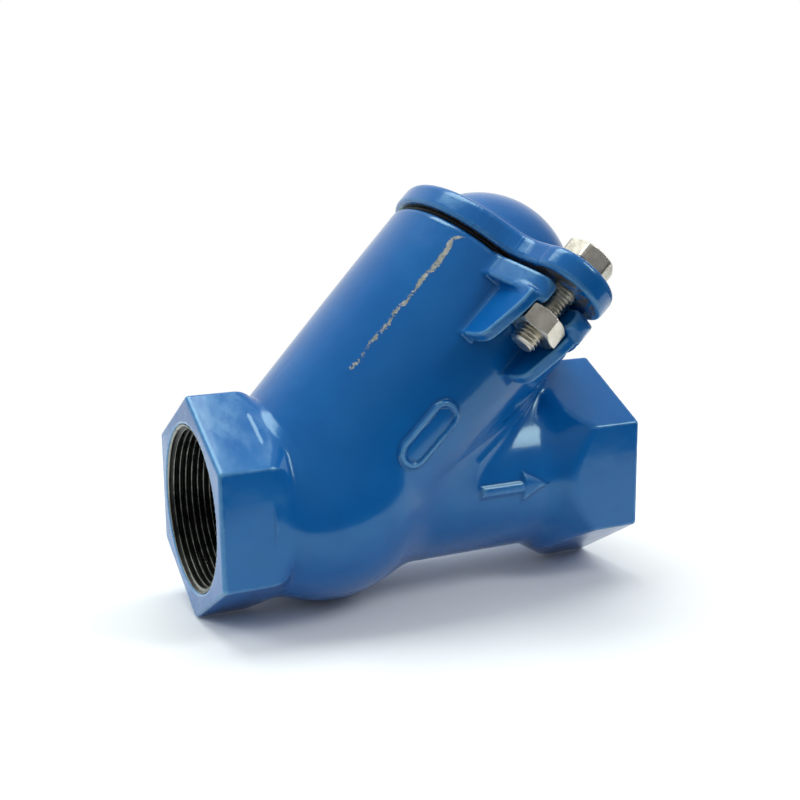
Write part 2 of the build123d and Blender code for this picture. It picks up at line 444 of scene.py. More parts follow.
def body_field(p):
    """The body casting."""
    y, v, s = to_branch(p)
    branch = blend_max(branch_field(p), s - rim_height, rim_round)
    casting = blend_min(inlet_field(p), branch, inlet_fillet)
    casting = blend_min(casting, outlet_field(p), outlet_fillet)
    casting = blend_min(casting, prong_field(y, v, s), prong_fillet)
    casting = blend_min(casting, pad_field(p), mark_fillet)
    casting = blend_min(casting, arrow_field(p), mark_fillet)
    casting = casting - seam_rise * seam_height(p)
    return blend_max(casting, -hollow_field(p), inner_edge_round)


def cover_outline(y, v):
    """The flange seen along the branch: a disc with a lug on each side."""
    reach = np.abs(y)
    side = np.abs(v)
    disc = np.hypot(reach, side) - flange_radius
    lug = np.hypot(reach - lug_offset, side) - lug_radius
    neck = beyond(reach, side, (lug_offset, lug_radius), (lug_neck_reach, lug_neck_half))
    neck = np.maximum(neck, reach - lug_offset)
    return blend_min(disc, np.minimum(lug, neck), lug_fillet)


def cover_field(p):
    """The cover."""
    y, v, s = to_branch(p)
    around = np.hypot(y, v)
    flange = blend_max(cover_outline(y, v), s - cover_top, flange_top_round)
    flange = blend_max(flange, cover_underside - s, flange_low_round)
    spigot = np.maximum(around - spigot_radius, s - cover_top)
    spigot = blend_max(spigot, spigot_low - s, spigot_round)
    from_centre = np.sqrt(around ** 2 + (s - dome_height) ** 2)
    dome = np.maximum(from_centre - dome_outer, cover_underside + 1 - s)
    casting = blend_min(np.minimum(flange, spigot), dome, dome_fillet)
    hollow = np.where(s < dome_height, around - dome_inner, from_centre - dome_inner)
    hole = np.hypot(np.abs(y) - lug_offset, v) - hole_radius
    casting = blend_max(casting, -hollow, spigot_round)
    return blend_max(casting, -hole, hole_round)


# ---------------------------------------------------------------- meshes
CORNERS = [(i, j, k) for i in (0, 1) for j in (0, 1) for k in (0, 1)]


def sample(field, low, counts, step):
    """The field's values on a grid, a slab at a time."""
    axes = [low[i] + step * np.arange(counts[i]) for i in range(3)]
    values = np.empty(counts, np.float32)
    slab = 24
    for start in range(0, counts[0], slab):
        grid = np.meshgrid(axes[0][start:start + slab], axes[1], axes[2], indexing="ij")
        values[start:start + slab] = field(np.stack(grid, -1))
    return values


def cell_points(values, cells):
    """One point in each cell: the mean of the places where its edges cross the surface."""
    corner = np.array(CORNERS)
    at = [values[tuple((cells + c).T)] for c in corner]
    total = np.zeros((len(cells), 3))
    crossings = np.zeros(len(cells))
    for a in range(8):
        for b in range(a + 1, 8):
            if np.abs(corner[a] - corner[b]).sum() != 1:
                continue
            crosses = (at[a] < 0) != (at[b] < 0)
            share = at[a] / np.where(crosses, at[a] - at[b], 1)
            place = corner[a] + share[:, None] * (corner[b] - corner[a])
            total += np.where(crosses[:, None], place, 0)
            crossings += crosses
    return cells + total / crossings[:, None]


def edge_quads(inside, index, axis):
    """A quad for each grid edge along an axis that crosses the surface, between the cells round it."""
    one, two = (axis + 1) % 3, (axis + 2) % 3
    here = [slice(None)] * 3
    there = [slice(None)] * 3
    here[axis] = slice(0, -1)
    there[axis] = slice(1, None)
    first, second = inside[tuple(here)], inside[tuple(there)]
    quads = []
    for crossing, turned in ((first & ~second, False), (second & ~first, True)):
        edges = np.argwhere(crossing)
        corners = []
        for a, b in ((0, 0), (1, 0), (1, 1), (0, 1)):
            cell = edges.copy()
            cell[:, one] -= a
            cell[:, two] -= b
            corners.append(index[tuple(cell.T)])
        quad = np.stack(corners, -1)
        quads.append(quad[:, ::-1] if turned else quad)
    return quads


def surface_net(field, low, high, step):
    """A quad mesh of the surface where the field is 0."""
    low = np.array(low, float)
    counts = np.ceil((np.array(high) - low) / step).astype(int) + 1
    values = sample(field, low, counts, step)
    inside = values < 0
    shape = counts - 1
    number = np.zeros(shape, np.int8)
    for i, j, k in CORNERS:
        number += inside[i:i + shape[0], j:j + shape[1], k:k + shape[2]]
    cells = np.argwhere((number > 0) & (number < 8))
    index = np.full(shape, -1, np.int64)
    index[tuple(cells.T)] = np.arange(len(cells))
    points = low + step * cell_points(values, cells)
    quads = [quad for axis in range(3) for quad in edge_quads(inside, index, axis)]
    return points, np.concatenate(quads)


def gradient(field, points, reach=0.05):
    """The field's gradient at points."""
    slopes = []
    for axis in range(3):
        shift = np.zeros(3)
        shift[axis] = reach
        slopes.append((field(points + shift) - field(points - shift)) / (2 * reach))
    return np.stack(slopes, -1)


def onto_surface(field, points, rounds, most):
    """Points moved along the gradient onto the surface, by no more than most each round."""
    for _ in range(rounds):
        slope = gradient(field, points)
        move = -field(points)[:, None] * slope / np.maximum((slope ** 2).sum(-1, keepdims=True), 0.05)
        length = np.linalg.norm(move, axis=-1, keepdims=True)
        points = points + move * np.minimum(1, most / np.maximum(length, 1e-9))
    return points


def unit(vectors):
    """Vectors made 1 long."""
    return vectors / np.maximum(np.linalg.norm(vectors, axis=-1, keepdims=True), 1e-12)


def add_mesh(name, points, faces, normals=None):
    """A mesh object in metres, smooth, with its own normals where they are given."""
    mesh = bpy.data.meshes.new(name)
    mesh.from_pydata((points / MM).tolist(), [], [list(face) for face in faces])
    mesh.polygons.foreach_set("use_smooth", [True] * len(mesh.polygons))
    mesh.update()
    if normals is not None:
        mesh.normals_split_custom_set_from_vertices(normals.tolist())
    piece = bpy.data.objects.new(name, mesh)
    bpy.context.scene.collection.objects.link(piece)
    return piece


def store(piece, name, values, domain="POINT"):
    """A number for each vertex, or for each face corner, for the materials."""
    attribute = piece.data.attributes.new(name, "FLOAT", domain)
    attribute.data.foreach_set("value", np.asarray(values, np.float32))


def thinned(points, quads, triangles):
    """The mesh with no more than that many triangles, fewest where it is flat."""
    if 2 * len(quads) <= triangles:
        return points, quads.tolist()
    piece = add_mesh("thinning", points, quads.tolist())
    modifier = piece.modifiers.new("edge_highlight", "DECIMATE")
    modifier.ratio = triangles / (2 * len(quads))
    ready = piece.evaluated_get(bpy.context.evaluated_depsgraph_get())
    mesh = bpy.data.meshes.new_from_object(ready)
    bpy.data.objects.remove(piece)
    return points_and_faces(mesh)


def points_and_faces(mesh):
    """A mesh's vertices in millimetres, and its faces."""
    return mesh_points(mesh), [tuple(polygon.vertices) for polygon in mesh.polygons]


def without_slivers(points, faces):
    """The mesh with its needle-thin faces dissolved, which would shade as dark lines on flat sides."""
    mesh = bpy.data.meshes.new("slivers")
    mesh.from_pydata((points / MM).tolist(), [], faces)
    work = bmesh.new()
    work.from_mesh(mesh)
    bmesh.ops.dissolve_degenerate(work, dist=sliver_width / MM, edges=work.edges[:])
    work.to_mesh(mesh)
    work.free()
    return points_and_faces(mesh)


def cast_piece(name, field, low, high, step, triangles):
    """A piece whose surface is the field's, with the field's own normals and its curvature."""
    points, quads = surface_net(field, low, high, step)
    points = onto_surface(field, points, 2, step)
    points, faces = thinned(points, quads, triangles)
    points = onto_surface(field, points, 2, step / 2)
    points, faces = without_slivers(points, faces)
    normals = unit(gradient(field, points))
    piece = add_mesh(name, points, faces, normals)
    vertex, inner, large, flat = face_corners(piece, points, field)
    corner_normals = normals[vertex]
    corner_normals[flat] = unit(gradient(field, inner[flat]))
    piece.data.normals_split_custom_set(corner_normals.tolist())
    curve = curvature(field, points)[vertex]
    curve[large] = curvature(field, inner[large])
    store(piece, "curve", curve, "CORNER")
    return piece, points


def curvature(field, points, spread=1.2):
    """How far the surface bends at points: above 0 on an edge and below 0 in a crease."""
    total = -6 * field(points)
    for axis in range(3):
        shift = np.zeros(3)
        shift[axis] = spread
        total = total + field(points + shift) + field(points - shift)
    return total / spread


def whole_numbers(items, name):
    """One whole number of each of a mesh's faces or face corners."""
    numbers = np.empty(len(items), np.int32)
    items.foreach_get(name, numbers)
    return numbers


def face_corners(piece, points, field):
    """Each face corner's vertex, a place further into its face, and which are on large or flat faces."""
    vertex = whole_numbers(piece.data.loops, "vertex_index")
    sides = whole_numbers(piece.data.polygons, "loop_total")
    starts = whole_numbers(piece.data.polygons, "loop_start")
    corner = points[vertex]
    centre = np.add.reduceat(corner, starts, axis=0) / sides[:, None]
    centre = np.repeat(centre, sides, axis=0)
    inward = centre - corner
    distance = np.linalg.norm(inward, axis=-1)
    inner = corner + inward * 0.6
    large = np.flatnonzero(distance > normal_reach)
    middle = unit(gradient(field, centre[large]))
    here = unit(gradient(field, inner[large]))
    level = np.zeros(len(vertex))
    level[large] = (middle * here).sum(-1) > math.cos(math.radians(0.15))
    face = np.minimum.reduceat(level, starts)
    return vertex, inner, np.flatnonzero(distance > curve_reach), np.repeat(face, sides) > 0


def area_normals(points, faces):
    """Vertex normals weighted by face area, so that flat faces stay flat beside small rounds."""
    faces = np.asarray(faces)
    corner = points[faces]
    normal = np.cross(corner[:, 2] - corner[:, 0], corner[:, 3] - corner[:, 1])
    total = np.zeros_like(points)
    for place in range(4):
        np.add.at(total, faces[:, place], normal)
    return unit(total)


def swept(name, rows, turns, place, closed):
    """A piece from rows of (radius, height) by angle. Its ends are closed, unless its rows are a loop."""
    radius = np.array([np.broadcast_to(row[0], turns.shape) for row in rows])
    height = np.array([np.broadcast_to(row[1], turns.shape) for row in rows])
    count, columns = radius.shape
    points = place(radius * np.cos(turns), radius * np.sin(turns), height).reshape(-1, 3)
    bands = count if closed else count - 1
    row, column = np.meshgrid(np.arange(bands), np.arange(columns), indexing="ij")
    after = (row + 1) % count
    beside = (column + 1) % columns
    quads = np.stack([row * columns + column, row * columns + beside,
                      after * columns + beside, after * columns + column], -1).reshape(-1, 4)
    faces = quads.tolist()
    if not closed:
        faces.append(list(range(columns))[::-1])
        faces.append(list(range((count - 1) * columns, count * columns)))
    return add_mesh(name, points, faces, area_normals(points, quads))


def rounded(corners, radius, steps=4):
    """A closed outline of (radius, height) corners, with each corner turned into an arc."""
    corners = np.array(corners, float)
    outline = []
    for before, here, after in zip(np.roll(corners, 1, 0), corners, np.roll(corners, -1, 0)):
        back = unit(before - here)
        ahead = unit(after - here)
        half = math.acos(float(np.clip(back @ ahead, -1, 1))) / 2
        shorter = min(np.linalg.norm(before - here), np.linalg.norm(after - here))
        cut = min(radius / math.tan(half), 0.45 * shorter)
        for share in np.linspace(0, 1, steps):
            first = here + back * cut * (1 - share)
            second = here + ahead * cut * share
            outline.append(first * (1 - share) + second * share)
    return np.array(outline)


# ---------------------------------------------------------------- pieces
def thread_wave(phase, sharpness):
    """A thread's profile over one turn: 1 on its crest and -1 in its root, straight between."""
    return np.arcsin(sharpness * np.cos(FULL_TURN * phase)) / math.asin(sharpness)


def body_masks(piece, points):
    """Where the body's paint has chipped, and where its metal is machined bare."""
    y, v, s = to_branch(points)
    around = np.hypot(y, v)
    height, _ = seam_place(points)
    worn = np.interp(height, [40, 56, 60, 94, 100], [0.62, 0.72, 1, 1, 0.8])
    store(piece, "seam", seam_height(points) * worn)
    rim_face = np.clip(1 - np.abs(s - rim_height) / 0.25, 0, 1) * (around < trunk_rim - 0.9)
    register = (np.abs(around - register_radius) < 0.3) & (s > rim_height - register_depth)
    seat_across, seat_height = seat_coordinates(points)
    start, end = seat_corners()
    on_seat = (np.abs(seat_height - (start[1] + end[1]) / 2) < 1.4) & (seat_across < end[0] + 0.4)
    store(piece, "bare", np.maximum(rim_face, register | on_seat))
    store(piece, "swell", np.interp(points[:, 0], [inlet_flat_end, 36, 128, 139], [1.0, 0.35, 0.35, 1.0]))
    store(piece, "ground", np.zeros(len(points)))
    under_plate = np.clip(1 - np.abs(s - rim_height + plate_thickness - 1) / 2.5, 0, 1)
    store(piece, "grainy", 0.05 + under_plate * np.clip((np.abs(y) - 50) / 3, 0, 1) * (np.abs(v) < 24))


def make_body(step):
    """The body casting, inside and out."""
    reach = lug_offset + 9
    low = (-1.5, -reach, -43)
    high = (run_length + 1.5, reach, 106)
    piece, points = cast_piece("valve_casting", body_field, low, high, step, body_triangles)
    body_masks(piece, points)
    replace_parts(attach(piece, "valve"), "valve_body")
    return piece


def make_cover(step):
    """The cover, with its dome."""
    reach = lug_offset + lug_radius + 1.5
    low = from_branch(0.0, 0.0, spigot_low) - (flange_radius + 1) * HALF_ROOT
    high = from_branch(0.0, 0.0, dome_height) + dome_outer + 1.5
    high = np.maximum(high, low + 75)
    low[1], high[1] = -reach, reach
    piece, points = cast_piece("cover_casting", cover_field, low, high, step, cover_triangles)
    y, v, s = to_branch(points)
    flat_face = (np.abs(s - cover_underside) < 0.2) & (np.hypot(y, v) < gasket_outer)
    spigot = (np.hypot(y, v) > spigot_radius - 0.4) & (s < cover_underside)
    store(piece, "bare", flat_face | spigot)
    store(piece, "seam", np.zeros(len(points)))
    store(piece, "swell", np.full(len(points), 0.5))
    edge = np.clip((cover_outline(y, v) + 2.5) / 1.0, 0, 1)
    on_neck = np.clip((np.abs(y) - 26) / 5, 0, 1) * np.clip((52 - np.abs(y)) / 5, 0, 1)
    store(piece, "ground", edge * on_neck)
    store(piece, "grainy", np.full(len(points), 0.05))
    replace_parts(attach(piece, "cover"), "cover")
    return piece


def place_on_run(start, direction):
    """Puts (across, across, height) points on the run's axis, from start, along +X or -X."""
    def place(u, w, height):
        x = start + direction * height
        return np.stack(np.broadcast_arrays(x, u, direction * w), -1)
    return place


def place_on_branch(offset):
    """Puts (across, across, height) points about an axis parallel to the branch's."""
    def place(u, w, height):
        return from_branch(u + offset, w, height)
    return place


def port_thread(name, start, direction):
    """A port's thread, from the mouth inwards: a ring with the thread cut in its inner side."""
    columns = 160
    turn = np.arange(columns) / columns
    along = np.arange(port_mouth, port_depth - 0.3, port_row)[:, None]
    depth = (1 - thread_wave(along / port_pitch - turn, 0.985)) / 2
    depth = depth * np.clip((port_depth - port_runout - along) / port_pitch, 0, 1)
    thread = port_radius + depth * port_thread_height
    chamfer = liner_radius - port_chamfer - (along - port_mouth)
    rows = list(zip(np.maximum(thread, chamfer), along[:, 0]))
    rows += [(liner_radius - 0.05, along[-1, 0]), (liner_radius - 0.05, port_mouth)]
    piece = swept(name, rows[::-1], FULL_TURN * turn, place_on_run(start, direction), True)
    # The crest value drives a painted highlight on the thread crests, and is 1 on the mouth's bare chamfer.
    crest = np.concatenate([np.where(chamfer >= thread, 1.0, 1 - depth), np.ones((2, columns))])
    store(piece, "crest", crest[::-1].ravel())
    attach(piece, "valve")
    return piece


def hex_radius(turn, flat, corner_round):
    """A hexagon's radius by angle, its first corner at angle 0, with rounded corners."""
    folded = np.abs((turn + math.pi / 6) % (math.pi / 3) - math.pi / 6)
    centre = (flat - corner_round) / math.cos(math.pi / 6)
    under_root = corner_round ** 2 - (centre * np.sin(folded)) ** 2
    on_arc = centre * np.cos(folded) + np.sqrt(np.maximum(under_root, 0))
    on_flat = flat / np.cos(math.pi / 6 - folded)
    edge = (flat - corner_round) * math.tan(math.pi / 6)
    return np.where(flat * np.tan(math.pi / 6 - folded) <= edge, on_flat, on_arc)


def hex_turns():
    """Angles for a hexagon's columns, crowded at its corners."""
    near = np.radians([0, 0.5, 1.0, 1.6, 2.4, 4, 8, 13, 18.5, 24, 30])
    half = np.concatenate([near, math.pi / 3 - near[-2:0:-1]])
    return np.concatenate([half + corner * math.pi / 3 for corner in range(6)])


def hex_rows(turns, low, high, chamfer_low, turn):
    """Rows of a hexagon's outer side, upwards. Its ends have 30 degree chamfers, and its edges are soft."""
    side = hex_radius(turns - turn, fastener_flat, 0.35)
    flat_end = fastener_flat * 0.97
    drop = (side - flat_end) * math.tan(math.radians(30))
    chamfer = [(flat_end - 0.5, 0), (flat_end, 0.02), (side - 0.10, drop - 0.06),
               (side - 0.02, drop + 0.04), (side, drop + 0.18)]
    square = [(side - 0.5, 0), (side - 0.12, 0.01), (side - 0.03, 0.05), (side, 0.2)]
    rows = [(radius, low + rise) for radius, rise in (chamfer if chamfer_low else square)]
    return rows + [(radius, high - rise) for radius, rise in reversed(chamfer)]


def screw_thread(heights, turns, extra):
    """An M10 thread's radius by height and angle, extra wider for a nut."""
    phase = heights / screw_pitch - turns / FULL_TURN
    wave = np.clip(thread_wave(phase, 0.999) * 1.12, -1, 1)
    return (screw_major + screw_minor) / 2 + wave * (screw_major - screw_minor) / 2 + extra


def make_screw(side):
    """An M10 hexagon screw: chamfered tail, thread, and head."""
    turns = hex_turns()
    head_low = screw_high - head_thickness
    rows = [(tail_radius - 0.6, screw_low), (tail_radius - 0.1, screw_low + 0.02)]
    for height in np.arange(screw_low + 0.05, head_low - 0.1, thread_row):
        tip = tail_radius + (height - screw_low) * tail_slope
        rows.append((np.minimum(screw_thread(height, turns, 0.0), tip), height))
    rows.append((head_face, head_low))
    rows += hex_rows(turns, head_low, screw_high, False, head_turn)
    piece = swept(side + "_screw", rows, turns, place_on_branch(bolt_offset[side]), False)
    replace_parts(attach(piece, side + "_bolt"), side + "_bolt")
    return piece


def make_nut(side):
    """An M10 hexagon nut, its thread in step with the screw's."""
    turns = hex_turns()
    rows = []
    for height in np.arange(nut_high, nut_low - 0.01, -thread_row):
        mouth = nut_mouth - min(nut_high - height, height - nut_low)
        rows.append((np.maximum(screw_thread(height, turns, nut_clearance), mouth), height))
    rows += hex_rows(turns, nut_low, nut_high, True, 0.0)
    piece = swept(side + "_hex_nut", rows, turns, place_on_branch(bolt_offset[side]), True)
    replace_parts(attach(piece, side + "_nut"), side + "_nut")
    return piece


def ring(name, corners, softness, columns, place):
    """A plain ring from its section's corners, named anticlockwise in (radius, height)."""
    turns = FULL_TURN * np.arange(columns) / columns
    return swept(name, rounded(corners, softness), turns, place, True)


def make_washer(side):
    """The small plain washer under a screw's head."""
    corners = [(washer_bore, washer_low), (washer_radius, washer_low),
               (washer_radius, washer_high), (washer_bore, washer_high)]
    piece = ring(side + "_plain_washer", corners, 0.3, 72, place_on_branch(bolt_offset[side]))
    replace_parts(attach(piece, side + "_washer"), side + "_washer")
    return piece


def make_gasket():
    """The flat rubber ring under the cover, squeezed a little round at its edges."""
    edge = gasket_outer - 0.9
    corners = [(gasket_inner, rim_height), (edge, rim_height), (edge + 0.3, (rim_height + gasket_top) / 2),
               (edge, gasket_top), (gasket_inner, gasket_top)]
    piece = ring("rim_gasket", corners, 0.5, 180, place_on_branch(0.0))
    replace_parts(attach(piece, "valve"), "cover_gasket")
    return piece


def make_ball():
    """The rubber skin of the ball, with the faint flash line of its mould round the middle."""
    below = np.linspace(-90, -3, 60)[1:]
    rise = np.radians(np.concatenate([below, np.linspace(-2, 2, 17), -below[::-1]]))
    radius = ball_radius - flash_depth * (1 - np.exp(-(np.degrees(rise) / flash_width) ** 2))
    turns = FULL_TURN * np.arange(160) / 160
    centre = to_branch(ball_centre)[2]
    rows = list(zip(radius * np.cos(rise), centre + radius * np.sin(rise)))
    piece = swept("ball_skin", rows, turns, place_on_branch(0.0), False)
    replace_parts(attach(piece, "ball"), "ball_coating")
    return piece


# ---------------------------------------------------------------- materials
class Nodes:
    """The node tree of a new material or of the world, built a node at a time."""

    def __init__(self, owner):
        owner.use_nodes = True
        self.owner = owner
        self.tree = owner.node_tree
        self.tree.nodes.clear()
        self.coordinates = self.add("ShaderNodeTexCoord").outputs
        self.place = self.coordinates["Object"]

    def add(self, kind, inputs=None, **settings):
        """A node, with values or other nodes' outputs in its inputs."""
        node = self.tree.nodes.new(kind)
        for key, value in settings.items():
            setattr(node, key, value)
        for key, value in (inputs or {}).items():
            if isinstance(value, bpy.types.NodeSocket):
                self.tree.links.new(value, node.inputs[key])
            else:
                node.inputs[key].default_value = value
        return node

    def streaks(self, scale, length):
        """Noise from 0 to 1 that is drawn out along the branch, length times as long as wide."""
        inputs = {"Vector": self.place, "Rotation": (0, math.pi / 4, 0), "Scale": (1, 1, length)}
        place = self.add("ShaderNodeMapping", inputs, vector_type="TEXTURE").outputs["Vector"]
        inputs = {"Vector": place, "Scale": scale, "Detail": 2.0}
        return self.add("ShaderNodeTexNoise", inputs).outputs["Fac"]

    def noise(self, scale, detail=2.0, roughness=0.5, stretch=None):
        """Noise from 0 to 1. The scale is per metre, so 1000 is a millimetre."""
        place = self.place
        if stretch:
            place = self.add("ShaderNodeMapping", {"Vector": place, "Scale": stretch}).outputs["Vector"]
        inputs = {"Vector": place, "Scale": scale, "Detail": detail, "Roughness": roughness}
        return self.add("ShaderNodeTexNoise", inputs).outputs["Fac"]

    def attribute(self, name):
        """A number stored on the mesh."""
        return self.add("ShaderNodeAttribute", attribute_name=name).outputs["Fac"]

    def ramp(self, value, low=0.3, high=0.7, start=0.0, end=1.0):
        """The value's range low to high turned into start to end, and held outside it."""
        inputs = {"Value": value, "From Min": low, "From Max": high, "To Min": start, "To Max": end}
        return self.add("ShaderNodeMapRange", inputs).outputs["Result"]

    def math(self, operation, a, b):
        """Two numbers worked together."""
        return self.add("ShaderNodeMath", {0: a, 1: b}, operation=operation).outputs[0]

    def mix(self, share, a, b):
        """Colour a, turning into b as share goes to 1."""
        return self.add("ShaderNodeMix", {0: share, 6: a, 7: b}, data_type="RGBA").outputs[2]

    def bump(self, height, distance, normal=None):
        """A bump that is distance metres high."""
        inputs = {"Height": height, "Distance": distance, "Strength": 1.0}
        if normal:
            inputs["Normal"] = normal
        return self.add("ShaderNodeBump", inputs).outputs["Normal"]

    def finish(self, **inputs):
        """The surface shader, and the material's output."""
        inputs = {key.replace("_", " "): value for key, value in inputs.items()}
        shader = self.add("ShaderNodeBsdfPrincipled", inputs)
        self.add("ShaderNodeOutputMaterial", {"Surface": shader.outputs["BSDF"]})
        return self.owner


def material_nodes(name):
    """The node tree of a new material."""
    return Nodes(bpy.data.materials.new(name))


def colour(red, green, blue):
    """A linear colour from 0 to 255 display values."""
    def linear(value):
        value = value / 255
        return value / 12.92 if value <= 0.04045 else ((value + 0.055) / 1.055) ** 2.4
    return linear(red), linear(green), linear(blue), 1.0


def epoxy_colour(n, curve, fine):
    """The epoxy's colour: clouded, with a painted highlight that makes edges paler and painted shade that makes
    creases darker.
    """
    base = n.mix(n.ramp(n.noise(22, 3.0)), colour(0, 86, 156), colour(4, 94, 164))
    base = n.mix(n.ramp(n.noise(95, 3.0), 0.35, 0.75, 0.0, 0.5), base, colour(0, 80, 150))
    # Painted highlight: edges, found by the curvature, are made paler as if they caught the light.
    edge_highlight = n.math("ADD", n.math("MULTIPLY", curve, 0.85), n.ramp(fine, 0.3, 0.7, -0.1, 0.1))
    base = n.mix(n.math("MULTIPLY", n.ramp(edge_highlight, 0.3, 0.9), 0.6), base, colour(104, 158, 196))
    # Painted shade: creases, found by the curvature, are made darker.
    crease_shade = n.ramp(curve, -0.12, -0.5)
    base = n.mix(n.math("MULTIPLY", crease_shade, 0.4), base, colour(0, 56, 118))
    dust = n.ramp(n.noise(1500, 2.0, 0.5), 0.72, 0.80)
    return n.mix(n.math("MULTIPLY", dust, 0.08), base, colour(120, 150, 180))


def epoxy_chips(n, curve):
    """Where the epoxy is chipped off: along the parting seam, and here and there on edges."""
    seam = n.attribute("seam")
    ragged = n.ramp(n.noise(1050, 5.0, 0.75), 0.3, 0.7, -0.62, 0.62)
    patchy = n.ramp(n.noise(230, 1.0), 0.35, 0.65, -0.3, 0.3)
    broken = n.math("MULTIPLY", n.math("ADD", ragged, patchy), n.ramp(seam, 0.0, 0.4))
    on_seam = n.ramp(n.math("ADD", seam, broken), 0.52, 0.70)
    knocks = n.ramp(n.noise(330, 4.0, 0.7), 0.5, 0.85, -1.0, 0.35)
    on_edge = n.ramp(n.math("ADD", n.ramp(curve, 0.3, 1.2), knocks), 0.9, 1.0)
    return n.math("MAXIMUM", on_seam, n.math("MULTIPLY", on_edge, 0.8))


def epoxy_relief(n, chip):
    """The epoxy's bumps, from the casting's broad waves to the chips' edges."""
    swell = n.attribute("swell")
    waves = n.bump(n.math("MULTIPLY", n.noise(62, 1.0, 0.5), swell), 0.00055)
    ripple = n.bump(n.math("MULTIPLY", n.noise(150, 2.0, 0.5), swell), 0.00007, waves)
    peel = n.bump(n.noise(430, 1.5, 0.4), 0.000026, ripple)
    ground = n.bump(n.math("MULTIPLY", n.streaks(520, 9), n.attribute("ground")), 0.00022, peel)
    grain = n.math("MULTIPLY", n.noise(1300, 4.0, 0.7), n.attribute("grainy"))
    return n.bump(n.math("SUBTRACT", 1.0, chip), 0.00012, n.bump(grain, 0.00030, ground))


def epoxy_material():
    """Glossy blue epoxy on cast iron: painted highlights on edges and painted shade in creases, chipped on the
    seam, and bare where machined.
    """
    n = material_nodes("blue_epoxy_paint")
    curve = n.attribute("curve")
    fine = n.noise(420, 4.0, 0.6)
    chip = epoxy_chips(n, curve)
    patches = n.ramp(fine, 0.35, 0.65)
    base = epoxy_colour(n, curve, fine)
    base = n.mix(chip, base, n.mix(patches, colour(132, 134, 128), colour(186, 182, 170)))
    bare = n.attribute("bare")
    base = n.mix(bare, base, n.mix(patches, colour(108, 106, 102), colour(146, 143, 138)))
    roughness = n.ramp(n.noise(60, 4.0, 0.65), 0.3, 0.7, 0.14, 0.24)
    roughness = n.math("ADD", roughness, n.math("MULTIPLY", chip, 0.5))
    roughness = n.math("ADD", roughness, n.math("MULTIPLY", bare, 0.2))
    metal = n.math("MULTIPLY", bare, 0.85)
    return n.finish(Base_Color=base, Roughness=roughness, Metallic=metal, Normal=epoxy_relief(n, chip),
                    IOR=1.52, Specular_Tint=(0.55, 1.0, 1.0, 1.0), Coat_Weight=0.25, Coat_Roughness=0.04)


def thread_material():
    """The ports' threads: dark, oily cut iron, with a painted highlight along the crests and pale bare metal on
    the mouth's chamfer.
    """
    n = material_nodes("oily_cut_thread")
    crest = n.attribute("crest")
    smear = n.noise(160, 4.0, 0.6)
    # Painted highlight along the thread crests; the same mask makes the mouth's chamfer pale bare metal.
    crest_highlight_and_bare_mouth = n.ramp(n.math("ADD", crest, n.ramp(smear, 0.3, 0.7, -0.12, 0.12)), 0.82, 0.97)
    base = n.mix(n.ramp(smear), colour(20, 22, 21), colour(44, 44, 40))
    base = n.mix(crest_highlight_and_bare_mouth, base, colour(150, 152, 142))
    roughness = n.ramp(smear, 0.3, 0.7, 0.22, 0.4)
    normal = n.bump(n.noise(1400, 3.0, 0.6), 0.00002)
    return n.finish(Base_Color=base, Roughness=roughness, Metallic=0.75, Normal=normal)


def stainless_material():
    """Plain stainless fasteners: warm grey, with faint forging and turning marks."""
    n = material_nodes("plain_stainless")
    cloud = n.noise(240, 4.0, 0.6)
    scratch = n.noise(900, 3.0, 0.6, (1.0, 9.0, 1.0))
    base = n.mix(n.ramp(cloud), colour(198, 191, 176), colour(230, 224, 210))
    base = n.mix(n.ramp(scratch, 0.58, 0.75, 0.0, 0.5), base, colour(120, 114, 102))
    roughness = n.ramp(cloud, 0.3, 0.7, 0.25, 0.37)
    normal = n.bump(scratch, 0.000014, n.bump(n.noise(330, 2.0), 0.00003))
    return n.finish(Base_Color=base, Roughness=roughness, Metallic=1.0, Normal=normal)


def rubber_material(name, dark, light, grain):
    """Black rubber with a bloom of dust and a fine moulded grain."""
    n = material_nodes(name)
    cloud = n.noise(70, 4.0, 0.6)
    base = n.mix(n.ramp(cloud), dark, light)
    roughness = n.ramp(n.noise(180, 3.0), 0.3, 0.7, 0.42, 0.62)
    normal = n.bump(n.noise(grain, 3.0, 0.6), 0.00003)
    return n.finish(Base_Color=base, Roughness=roughness, Normal=normal, Specular_IOR_Level=0.3)


def alloy_material():
    """The turned alloy of the ball's core."""
    n = material_nodes("turned_alloy")
    cloud = n.noise(150, 3.0)
    inputs = {"Vector": n.place, "Scale": 900.0, "Distortion": 1.5}
    rings = n.add("ShaderNodeTexWave", inputs, bands_direction="Z")
    base = n.mix(n.ramp(cloud), colour(176, 178, 180), colour(200, 201, 202))
    roughness = n.ramp(cloud, 0.3, 0.7, 0.3, 0.45)
    normal = n.bump(rings.outputs["Fac"], 0.00002)
    return n.finish(Base_Color=base, Roughness=roughness, Metallic=1.0, Normal=normal)


def floor_material():
    """A pale matt table."""
    n = material_nodes("pale_table")
    base = n.mix(n.ramp(n.noise(3, 2.0)), (0.86, 0.86, 0.86, 1), (0.88, 0.88, 0.88, 1))
    return n.finish(Base_Color=base, Roughness=0.75)


def paint(piece, material):
    """Gives a piece its material."""
    piece.data.materials.clear()
    piece.data.materials.append(material)


# ---------------------------------------------------------------- studio
def add_floor():
    """The pale board the valve stands on."""
    left, front, right, back = -0.25, -0.2, 0.42, 0.3
    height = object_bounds()[0].z - 0.0002
    mesh = bpy.data.meshes.new("table")
    corners = [(left, front, height), (right, front, height), (right, back, height), (left, back, height)]
    mesh.from_pydata(corners, [], [(0, 1, 2, 3)])
    floor = bpy.data.objects.new("table", mesh)
    bpy.context.scene.collection.objects.link(floor)
    paint(floor, floor_material())


